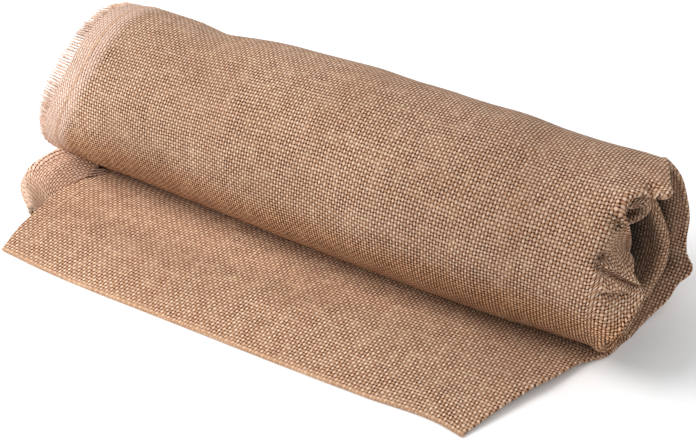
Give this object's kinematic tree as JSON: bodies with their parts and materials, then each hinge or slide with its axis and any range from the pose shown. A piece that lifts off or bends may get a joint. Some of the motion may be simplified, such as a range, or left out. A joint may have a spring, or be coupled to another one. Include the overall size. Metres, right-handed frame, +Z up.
{
  "type": "sack race bag",
  "caption": "Jute sack for sack racing, laid flat and rolled up along its length, with the open mouth lying in front as a loose flap.",
  "frame": {"origin": "centre of the footprint, on the floor under the sack", "axes": "+X runs along the roll from the frayed side seam to the folded side, -Y points to the loose flap and the mouth, +Z is up"},
  "size_m": [0.574, 0.255, 0.157],
  "materials": {
    "hessian": "open plain-woven jute, matt and hairy",
    "raw_margin": "open plain-woven jute, paler, with frayed yarn ends",
    "mouth_selvedge": "closely woven jute edge, matt",
    "seam_twine": "twisted jute twine, matt"
  },
  "bodies": {
    "roll": {"front_panel_outer_turn": "hessian", "front_panel_inner_turns": "hessian", "back_panel_outer_turn": "hessian", "back_panel_inner_turns": "hessian", "front_raw_margin_rolled": "raw_margin", "back_raw_margin_rolled": "raw_margin", "side_seam_needle_thread_rolled": "seam_twine", "side_seam_looper_thread_rolled": "seam_twine", "side_fold_rolled": "hessian", "bottom_seam_needle_thread": "seam_twine", "bottom_seam_looper_thread": "seam_twine", "front_bottom_margin": "raw_margin", "back_bottom_margin": "raw_margin"},
    "flap": {"front_panel_flap": "hessian", "back_panel_flap": "hessian", "front_raw_margin_flap": "raw_margin", "back_raw_margin_flap": "raw_margin", "side_seam_needle_thread_flap": "seam_twine", "side_seam_looper_thread_flap": "seam_twine", "side_fold_flap": "hessian", "front_mouth_selvedge": "mouth_selvedge", "back_mouth_selvedge": "mouth_selvedge"}
  },
  "joints": [
    {"name": "flap_lift", "type": "hinge", "parent": "roll", "child": "flap", "pos_m": [0, -0.052, 0.0028], "axis": [-1, 0, 0], "range_deg": [0, 80]}
  ]
}
